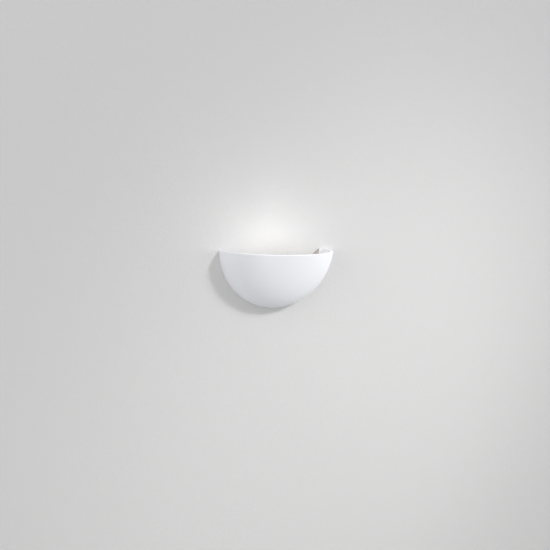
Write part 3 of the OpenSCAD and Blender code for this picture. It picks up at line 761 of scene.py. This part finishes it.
def soften(node: str, name: str, finish: Finish, width: float, body: Body = Body.FITTING,
           segments: int = 2) -> None:
    """Replaces a construction node by a copy of it with rounded edges.

    Args:
        node: the node.
        name: the new piece's name.
        finish: its finish.
        width: the rounds' width.
        body: the body it rides on.
        segments: faces across each round.
    """
    add_piece(rounded_copy(node, width, segments), name, finish, node, body)


@dataclass
class PlasterBowl:
    """The cast bowl: level sections are half ellipses whose reach falls off faster than their width."""

    reach: float = 149 * MM
    wall: float = 9 * MM
    rim_round: float = 1.8 * MM
    back_round: float = 0.6 * MM
    edge_angle: float = 50.0
    crease: float = 60.0
    columns: int = 160
    rows: int = 112

    def skin(self, bm: BMesh, shrink: float, half_width: float, height: float,
             rim: float) -> list[BMEdge]:
        """Adds one surface of the bowl: a quarter ball drawn to its semi-axes.

        Args:
            bm: the mesh to add to.
            shrink: how much smaller each semi-axis is than the outer surface's.
            half_width: half-width of the outer surface.
            height: height of the outer surface.
            rim: height of the rim.

        Returns:
            The surface's open edges.
        """
        ball = bmesh.ops.create_uvsphere(bm, u_segments=self.columns, v_segments=self.rows, radius=1.0)
        geometry = set(ball["verts"])
        for normal in (Z_AXIS, Y_AXIS):
            live = [v for v in geometry if v.is_valid]
            edges = {e for v in live for e in v.link_edges}
            faces = {f for v in live for f in v.link_faces}
            bmesh.ops.bisect_plane(bm, geom=[*live, *edges, *faces], plane_co=(0, 0, 0), plane_no=normal,
                                   dist=IN_PLANE, clear_outer=True)
        live = [v for v in geometry if v.is_valid]
        for vert in live:
            fall = math.sqrt(1 + abs(vert.co.z))
            vert.co = Vector((vert.co.x * (half_width - shrink), vert.co.y * (self.reach - shrink) / fall,
                              rim + vert.co.z * (height - shrink)))
        return list({e for v in live for e in v.link_edges if e.is_boundary})

    def build(self) -> None:
        """Builds the bowl."""
        low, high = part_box("bowl_shell")
        height = high.z - low.z
        bm = bmesh.new()
        outer = self.skin(bm, 0.0, high.x, height, high.z)
        inner = self.skin(bm, self.wall, high.x, height, high.z)
        bmesh.ops.bridge_loops(bm, edges=outer + inner)
        bmesh.ops.recalc_face_normals(bm, faces=bm.faces)
        at_rim = sharp_edges(bm, self.edge_angle, lambda e: all(v.co.z > high.z - IN_PLANE for v in e.verts))
        round_edges(bm, at_rim, self.rim_round, segments=4)
        at_wall = sharp_edges(bm, self.edge_angle, lambda e: all(v.co.y > -IN_PLANE for v in e.verts))
        round_edges(bm, at_wall, self.back_round)
        add_piece(bm, "plaster_bowl", PLASTER, "bowl_shell", crease=self.crease)


@dataclass
class WallBracket:
    """The plate on the wall, with the thumb screws' bushes, its earth bonding and the cable's inlet."""

    plate_edge: float = 0.35 * MM
    screw_edge: float = 0.15 * MM
    washer_edge: float = 0.1 * MM
    inlet_edge: float = 0.5 * MM

    def build(self) -> None:
        """Builds the bracket's pieces."""
        soften("wall_bracket", "bracket_plate", GALVANISED, self.plate_edge)
        soften("bracket_bushes", "threaded_bushes", ZINC_STEEL, self.plate_edge)
        soften("earth_screw", "earth_pan_head", ZINC_STEEL, self.screw_edge)
        soften("earth_washer", "earth_lock_washer", ZINC_STEEL, self.washer_edge)
        soften("earth_tag", "earth_ring_tag", ZINC_STEEL, self.screw_edge)
        soften("cable_bush", "inlet_bush", DARK_NYLON, self.inlet_edge, segments=3)


@dataclass
class BowlFixings:
    """What holds the bowl to the bracket: cast-in tabs, and thumb screws with nylon washers."""

    tab_edge: float = 0.35 * MM
    washer_edge: float = 0.2 * MM
    screw_edge: float = 0.18 * MM
    pitch: float = 0.8 * MM
    thread: float = 12 * MM

    def build(self) -> None:
        """Builds the fixings of both sides."""
        for side in Side:
            word = side.word
            soften(f"fixing_tab_{word}", f"cast_in_tab_{word}", GALVANISED, self.tab_edge)
            soften(f"thumb_washer_{word}", f"nylon_washer_{word}", NYLON, self.washer_edge,
                   side.body("FEED"))
            self.build_screw(side)

    def build_screw(self, side: Side) -> None:
        """Builds a thumb screw.

        Args:
            side: the side it is on.
        """
        node = f"thumb_screw_{side.word}"
        middle = middle_of(node)
        tip = Vector((middle.x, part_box(node)[1].y, middle.z))
        bm = rounded_copy(node, self.screw_edge)
        cut_thread(bm, tip, -Y_AXIS, self.thread, self.pitch)
        add_piece(bm, f"knurled_screw_{side.word}", ZINC_STEEL, node, side.body("SCREW"))


@dataclass
class LampCarrier:
    """The folded shelf and the reflector on it."""

    shelf_edge: float = 0.4 * MM
    screw_edge: float = 0.15 * MM
    reflector_edge: float = 0.2 * MM

    def build(self) -> None:
        """Builds the carrier's pieces."""
        soften("lamp_carrier", "carrier_shelf", GALVANISED, self.shelf_edge)
        soften("carrier_screws", "carrier_pan_heads", ZINC_STEEL, self.screw_edge)
        soften("reflector", "reflector_trough", REFLECTOR_SHEET, self.reflector_edge)
        soften("reflector_rivets", "reflector_rivet_heads", ZINC_STEEL, self.reflector_edge)


@dataclass
class Lampholders:
    """Both ceramic holders with their bolts, nuts, sprung contacts and springs."""

    holder_edge: float = 0.5 * MM
    contact_edge: float = 0.15 * MM
    nut_edge: float = 0.12 * MM
    bolt_edge: float = 0.126 * MM
    pitch: float = 0.5 * MM
    thread: float = 4 * MM
    spring_wire: float = 0.7 * MM
    open_turns: float = 3.5
    # Run of a closed end turn, in wires.
    closed_pitch: float = 1.05
    spring_crease: float = 60.0

    def build(self) -> None:
        """Builds the pieces of both holders."""
        for side in Side:
            word = side.word
            soften(f"lampholder_{word}", f"steatite_holder_{word}", STEATITE, self.holder_edge, segments=3)
            soften(f"contact_{word}", f"contact_plunger_{word}", COPPER_ALLOY, self.contact_edge,
                   side.body("PLUNGER"))
            self.build_spring(side)
        soften("holder_nuts", "holder_hex_nuts", ZINC_STEEL, self.nut_edge)
        self.build_bolts()

    def build_bolts(self) -> None:
        """Builds the bolts, whose threads show."""
        middle, end = middle_of("holder_bolts"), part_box("holder_bolts")[1].x
        bm = rounded_copy("holder_bolts", self.bolt_edge)
        for side in Side:
            tip = Vector((side.value * end, middle.y, middle.z))
            cut_thread(bm, tip, -side.value * X_AXIS, self.thread, self.pitch)
        add_piece(bm, "holder_bolt_heads", ZINC_STEEL, "holder_bolts")

    def build_spring(self, side: Side) -> None:
        """Builds a contact's spring, with one closed turn at each end.

        Args:
            side: the side it is on.
        """
        node = f"contact_spring_{side.word}"
        wire = self.spring_wire
        low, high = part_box(node)
        middle = middle_of(node)
        closed_run = self.closed_pitch * wire
        stretches = [(1.0, closed_run), (self.open_turns, high.x - low.x - wire - 2 * closed_run),
                     (1.0, closed_run)]
        bm = wind(stretches, (high.z - low.z - wire) / 2, wire, per_turn=28, sides=10)
        stand(bm, X_AXIS, Vector((low.x + wire / 2, middle.y, middle.z)))
        add_piece(bm, f"closed_end_spring_{side.word}", SPRING_STEEL, node, crease=self.spring_crease)


@dataclass
class HalogenLamp:
    """The double-ended lamp: quartz tube with its exhaust tip, end caps, contacts and coiled filament."""

    cap_edge: float = 0.2 * MM
    contact_edge: float = 0.15 * MM
    tube_wall: float = 0.9 * MM
    # How far in from the tube's end its shoulder is. The places below are outwards from there.
    shoulder_in: float = 8 * MM
    # The seal's radius as a share of the tube's, and where the seal and its bore begin to widen.
    seal_share: float = 0.52
    seal_widens: float = 4.5 * MM
    bore_widens: float = 3 * MM
    # How both widen to the full tube: share of the full radius, and place.
    outer_shoulder: Points = ((0.72, 2.6 * MM), (0.93, 1.1 * MM), (1.0, -1 * MM))
    inner_shoulder: Points = ((0.72, 1.6 * MM), (0.93, 0.2 * MM), (1.0, -1.6 * MM))
    tail_radius: float = 0.4 * MM
    tip_radius: float = 1.3 * MM
    # How far the exhaust tip sinks into the tube, and its outline of (radius, height), in its radii.
    tip_sink: float = 0.25
    tip_outline: Points = ((0.0, 0.0), (1.6, 0.0), (1.1, 0.25), (0.9, 0.7), (0.6, 1.1), (0.0, 1.3))
    turns: float = 90.0
    coil_radius: float = 0.8 * MM
    coil_wire: float = 0.28 * MM
    coil_past_supports: float = 6 * MM

    def build(self) -> None:
        """Builds the lamp's pieces."""
        self.build_tube()
        self.build_filament()
        soften("lamp_caps", "steatite_end_caps", STEATITE, self.cap_edge, Body.LAMP)
        soften("lamp_buttons", "end_contacts", COPPER_ALLOY, self.contact_edge, Body.LAMP)
        # The support loops are plain wire, with no edge to round.
        soften("filament_supports", "filament_wire_loops", TUNGSTEN, 0.0, Body.LAMP)

    def build_tube(self) -> None:
        """Builds the quartz tube with round shoulders."""
        low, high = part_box("lamp_tube")
        radius = (high.z - low.z) / 2
        seal, bore = self.seal_share * radius, radius - self.tube_wall
        start = high.x - self.shoulder_in
        outside = [(seal, high.x), (seal, start + self.seal_widens),
                   *((share * radius, start + past) for share, past in self.outer_shoulder)]
        inside = [(self.tail_radius, high.x), (self.tail_radius, start + self.bore_widens),
                  *((share * bore, start + past) for share, past in self.inner_shoulder)]
        right = outside[::-1] + inside
        left = [(r, -x) for r, x in right[::-1]]
        bm = lathe(right + left, steps=48)
        tip = lathe([(r * self.tip_radius, x * self.tip_radius) for r, x in self.tip_outline], steps=24)
        stand(tip, -Z_AXIS, Vector((0, 0, self.tip_sink * self.tip_radius - radius)))
        join_in(bm, tip)
        bmesh.ops.translate(bm, verts=bm.verts, vec=middle_of("lamp_tube"))
        add_piece(bm, "quartz_tube", QUARTZ, "lamp_tube", Body.LAMP)

    def build_filament(self) -> None:
        """Builds the coiled filament and its straight tails."""
        centre = middle_of("lamp_tube")
        low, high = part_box("filament_supports")
        half = (high.x - low.x) / 2 + self.coil_past_supports
        bm = wind([(self.turns, 2 * half)], self.coil_radius, self.coil_wire, per_turn=8, sides=4)
        stand(bm, X_AXIS, centre - X_AXIS * half)
        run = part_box("lamp_filament")[1].x - centre.x - half
        for side in Side:
            outline = [(0.0, 0.0), (self.tail_radius, 0.0), (self.tail_radius, run), (0.0, run)]
            tail = lathe(outline, steps=12)
            stand(tail, side.value * X_AXIS, centre + X_AXIS * side.value * half)
            join_in(bm, tail)
        add_piece(bm, "filament_coil", FILAMENT, "lamp_filament", Body.LAMP)


@dataclass
class TerminalBlock:
    """The supply's terminal block with its cages, screws and the leads' ferrules."""

    block_edge: float = 0.4 * MM
    cage_edge: float = 0.15 * MM
    screw_edge: float = 0.12 * MM

    def build(self) -> None:
        """Builds the block's pieces."""
        soften("terminal_block", "terminal_block_body", NYLON, self.block_edge, segments=3)
        soften("terminal_cages", "brass_cages", COPPER_ALLOY, self.cage_edge)
        soften("terminal_screws", "slotted_clamp_screws", ZINC_STEEL, self.screw_edge)
        soften("block_screws", "block_pan_heads", ZINC_STEEL, self.screw_edge)
        soften("lead_ferrules", "crimped_ferrules", ZINC_STEEL, self.screw_edge)


@dataclass
class Wiring:
    """The sleeved leads of the holders and the earth lead."""

    join_angle: float = 50.0
    rounding_levels: int = 2

    def build(self) -> None:
        """Builds the three leads."""
        for side in Side:
            self.build_lead(f"lead_{side.word}", f"sleeved_lead_{side.word}", GLASS_SLEEVE)
        self.build_lead("earth_lead", "earth_conductor", EARTH_SLEEVE)

    def build_lead(self, node: str, name: str, finish: Finish) -> None:
        """Replaces a tube of few sides by a copy of it that is subdivided to a round one.

        Args:
            node: the construction node.
            name: the new piece's name.
            finish: its finish.
        """
        bm = copy_of(node)
        bmesh.ops.join_triangles(bm, faces=bm.faces, angle_face_threshold=math.radians(self.join_angle),
                                 angle_shape_threshold=math.pi)
        piece = add_piece(bm, name, finish, node, crease=180.0)
        rounding = piece.modifiers.new("rounding", "SUBSURF")
        rounding.levels = rounding.render_levels = self.rounding_levels


# ---------------------------- stage


@dataclass(frozen=True)
class Light:
    """A sun, or a spot where it has a radius.

    Its direction points from the object back to it. Its angle, in degrees, is the sun's disc or the
    spot's cone.
    """

    name: str
    energy: float
    direction: Triple
    angle: float
    radius: float = 0.0
    place: Triple = (0.0, 0.0, 0.0)
    colour: Colour = (1.0, 1.0, 1.0)
    lights_only: tuple[str, ...] = ()

    def build(self, origin: Vector) -> Object:
        """Adds the light.

        Args:
            origin: the point that its place is measured from.

        Returns:
            The light.
        """
        data = bpy.data.lights.new(self.name, "SPOT" if self.radius else "SUN")
        data.energy = self.energy
        data.color = self.colour
        if self.radius:
            data.spot_size = math.radians(self.angle)
            data.spot_blend = 1.0
            data.shadow_soft_size = self.radius
        else:
            data.angle = math.radians(self.angle)
        made = bpy.data.objects.new(self.name, data)
        made.location = origin + Vector(self.place)
        made.rotation_mode = "QUATERNION"
        made.rotation_quaternion = Vector(self.direction).to_track_quat("Z", "Y")
        made.visible_camera = False
        bpy.context.scene.collection.objects.link(made)
        if self.lights_only:
            lit = bpy.data.collections.new(f"lit_by_{self.name}")
            for piece in self.lights_only:
                lit.objects.link(bpy.data.objects[piece])
            made.light_linking.receiver_collection = lit
        return made


@dataclass(frozen=True)
class Glow(Light):
    """A soft beam of the lamp's light, for the bowl and the stage only.

    It starts nearer to the fittings than the real lamp's rays come, and would burn them out.
    """

    lights_only: tuple[str, ...] = ("plaster_bowl", "backdrop_wall", "pale_floor")

    def build(self, origin: Vector) -> Object:
        """Adds the light, with no shadows of the fittings that it doesn't light.

        Args:
            origin: the point that its place is measured from.

        Returns:
            The light.
        """
        made = super().build(origin)
        made.light_linking.blocker_collection = made.light_linking.receiver_collection
        return made


# Most of the key light is flagged off the wall, so that the bowl's shadow stays pale.
STUDIO_LIGHTS = (
    Light("key", energy=0.5, direction=(0.468, -0.731, 0.496), angle=5.0),
    Light("flagged_key", energy=1.22, direction=(0.45, -0.78, 0.34), angle=5.0,
          lights_only=("plaster_bowl",)),
    Light("left_fill", energy=0.71, direction=(-0.93, -0.33, 0.16), angle=60.0),
    Light("wall_pool", energy=131.0, direction=(1.2, -2.37, 1.9), angle=32.0, radius=0.35,
          place=(1.474, -2.37, 1.508)),
)
WARM_WHITE: Colour = (1.0, 0.95, 0.88)
# Beams from just over the front of the rim to the wall, one to the bowl's right end, and one from the lamp
# to the bowl's front.
LAMP_LIGHTS = (
    Glow("glow_middle", energy=0.09, direction=(0.0, -1.0, 0.05), angle=110.0, radius=0.02,
         place=(0.0, 0.012, 0.004)),
    Glow("glow_high", energy=0.088, direction=(0.0, -1.0, -1.25), angle=45.0, radius=0.02,
         place=(0.0, 0.012, 0.004)),
    Glow("glow_left", energy=0.21, direction=(0.35, -1.0, -0.25), angle=130.0, radius=0.03,
         place=(-0.05, 0.022, 0.004)),
    Glow("glow_right", energy=0.148, direction=(-0.35, -1.0, -0.25), angle=130.0, radius=0.03,
         place=(0.05, 0.022, 0.004)),
    Glow("glow_end", energy=0.16, direction=(-0.055, -0.083, 0.018), angle=28.0, radius=0.01,
         place=(0.085, 0.053, 0.003), colour=WARM_WHITE),
    Glow("glow_front", energy=0.056, direction=(0.0, 1.0, -0.1), angle=160.0, radius=0.01,
         place=(0.0, 0.088, -0.02), colour=WARM_WHITE),
)


@dataclass(frozen=True)
class MattSurface:
    """A matt stage surface with a faint drift of tone and a fine plaster grain."""

    name: str
    colour: Colour
    relief: float
    drift_scale: float = 1.6
    drift_tone: float = 0.97
    grain_scale: float = 110.0
    roughness: float = 0.9
    specular: float = 0.1

    def shader(self) -> Shader:
        """Starts the surface's material.

        Returns:
            The material under construction.
        """
        shader = Shader(self.name)
        drift = shader.noise(self.drift_scale, detail=2)
        shader.feed(shader.blend(drift, toned(self.colour, self.drift_tone), self.colour), "Base Color")
        shader.bump(shader.noise(self.grain_scale, detail=4, rough=0.6), self.relief)
        shader.set(Roughness=self.roughness, Specular_IOR_Level=self.specular)
        return shader


@dataclass
class Studio:
    """The stage: a pale wall and floor, soft studio light, the lamp's glow, and the camera.

    Angles are in degrees, lens and sensor in millimetres.
    """

    wall: MattSurface = MattSurface("stage_wall", (0.742, 0.733, 0.727), relief=0.6 * MM)
    floor: MattSurface = MattSurface("stage_floor", (0.63, 0.625, 0.62), relief=0.1 * MM)
    world_colour: Colour = (0.97, 0.985, 1.0)
    world_strength: float = 0.675
    stage_size: float = 8.0
    wall_gap: float = 0.6 * MM
    cover_margin: float = 2 * MM
    floor_drop: float = 1.25
    azimuth: float = -24.54
    elevation: float = 7.26
    roll: float = 1.32
    distance: float = 1.948
    offset_right: float = 0.00125
    offset_up: float = -0.0657
    lens: float = 50.0
    sensor: float = 36.0
    clip: tuple[float, float] = (0.05, 50.0)

    def see_through(self, shader: Shader, share: NodeSocket | float) -> Material:
        """Lets views from behind through a stage material.

        Args:
            shader: the material under construction.
            share: how much of the light goes through it from the front as well.

        Returns:
            The material.
        """
        facing = shader.nodes.new("ShaderNodeNewGeometry")
        clear = shader.nodes.new("ShaderNodeBsdfTransparent")
        choose = shader.nodes.new("ShaderNodeMixShader")
        either = shader.math("MAXIMUM", facing.outputs["Backfacing"], share)
        shader.links.new(either, choose.inputs["Fac"])
        shader.links.new(shader.surface.outputs["BSDF"], choose.inputs[1])
        shader.links.new(clear.outputs["BSDF"], choose.inputs[2])
        shader.links.new(choose.outputs["Shader"], shader.nodes["Material Output"].inputs["Surface"])
        return shader.material

    def covered(self, shader: Shader) -> NodeSocket:
        """Where the bowl covers the wall: there light comes through it to the fitting's back, unseen.

        Args:
            shader: the wall's material.

        Returns:
            1 there for light and mirrored rays. It is 0 elsewhere, and for what the camera sees directly or
            through glass.
        """
        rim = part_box("bowl_shell")[1]
        from_middle = shader.place(scale=(1, 0, 1), shift=(0, 0, -rim.z))
        length = shader.nodes.new("ShaderNodeVectorMath")
        length.operation = "LENGTH"
        shader.links.new(from_middle, length.inputs[0])
        axes = shader.nodes.new("ShaderNodeSeparateXYZ")
        shader.links.new(from_middle, axes.inputs["Vector"])
        inside = shader.math("LESS_THAN", length.outputs["Value"], rim.x - self.cover_margin)
        below = shader.math("LESS_THAN", axes.outputs["Z"], -self.cover_margin)
        rays = shader.nodes.new("ShaderNodeLightPath").outputs
        seen = shader.math("MAXIMUM", rays["Is Camera Ray"], rays["Is Transmission Ray"])
        half_circle = shader.math("MULTIPLY", inside, below)
        return shader.math("MULTIPLY", half_circle, shader.math("SUBTRACT", 1.0, seen))

    def add_square(self, name: str, material: Material, turn: float, place: Vector) -> None:
        """Adds a square of the stage.

        Args:
            name: its name.
            material: its material.
            turn: its turn about X from level, in radians.
            place: its middle.
        """
        bm = bmesh.new()
        bmesh.ops.create_grid(bm, x_segments=2, y_segments=2, size=self.stage_size / 2)
        bmesh.ops.rotate(bm, verts=bm.verts, cent=(0, 0, 0), matrix=Matrix.Rotation(turn, 3, "X"))
        bmesh.ops.translate(bm, verts=bm.verts, vec=place)
        mesh = bpy.data.meshes.new(name)
        bm.to_mesh(mesh)
        bm.free()
        mesh.materials.append(material)
        made = bpy.data.objects.new(name, mesh)
        bpy.context.scene.collection.objects.link(made)

    def build(self) -> None:
        """Builds stage, lights and camera."""
        wall = self.wall.shader()
        self.add_square("backdrop_wall", self.see_through(wall, self.covered(wall)), math.pi / 2,
                        Y_AXIS * self.wall_gap)
        self.add_square("pale_floor", self.see_through(self.floor.shader(), 0.0), 0.0,
                        -Z_AXIS * self.floor_drop)
        self.build_world()
        self.build_lights()
        self.build_camera()

    def build_world(self) -> None:
        """Sets an even, pale world."""
        world = bpy.data.worlds.new("studio_world")
        world.use_nodes = True
        background = world.node_tree.nodes["Background"]
        background.inputs["Color"].default_value = (*self.world_colour, 1.0)
        background.inputs["Strength"].default_value = self.world_strength
        bpy.context.scene.world = world

    def build_lights(self) -> None:
        """Adds the studio's lights, placed from the rim's back, and the lamp's, placed from its front."""
        low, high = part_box("bowl_shell")
        for light in STUDIO_LIGHTS:
            light.build(Vector((0, 0, high.z)))
        for light in LAMP_LIGHTS:
            light.build(Vector((0, low.y, high.z)))

    def build_camera(self) -> None:
        """Places the camera where the photographer stood."""
        azimuth, elevation, roll = (math.radians(a) for a in (self.azimuth, self.elevation, self.roll))
        back = Vector((math.sin(azimuth) * math.cos(elevation), -math.cos(azimuth) * math.cos(elevation),
                       math.sin(elevation)))
        level = Vector((math.cos(azimuth), math.sin(azimuth), 0))
        above = back.cross(level)
        right = level * math.cos(roll) + above * math.sin(roll)
        up = above * math.cos(roll) - level * math.sin(roll)
        middle = Vector((0, 0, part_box("bowl_shell")[1].z))
        place = middle + right * self.offset_right + up * self.offset_up + back * self.distance
        camera = bpy.data.cameras.new("camera")
        camera.lens = self.lens
        camera.sensor_width = self.sensor
        camera.clip_start, camera.clip_end = self.clip
        made = bpy.data.objects.new("camera", camera)
        made.matrix_world = Matrix.Translation(place) @ Matrix((right, up, back)).transposed().to_4x4()
        bpy.context.scene.collection.objects.link(made)
        bpy.context.scene.camera = made


def main() -> None:
    """Builds the sconce over its construction, then the stage."""
    logging.basicConfig(level=logging.INFO, format="%(name)s %(message)s", stream=sys.stdout)
    bpy.context.scene.view_settings.view_transform = "Standard"
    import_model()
    for part in (PlasterBowl(), WallBracket(), BowlFixings(), LampCarrier(), Lampholders(), HalogenLamp(),
                 TerminalBlock(), Wiring()):
        part.build()
    Studio().build()


if __name__ == "__main__":
    main()
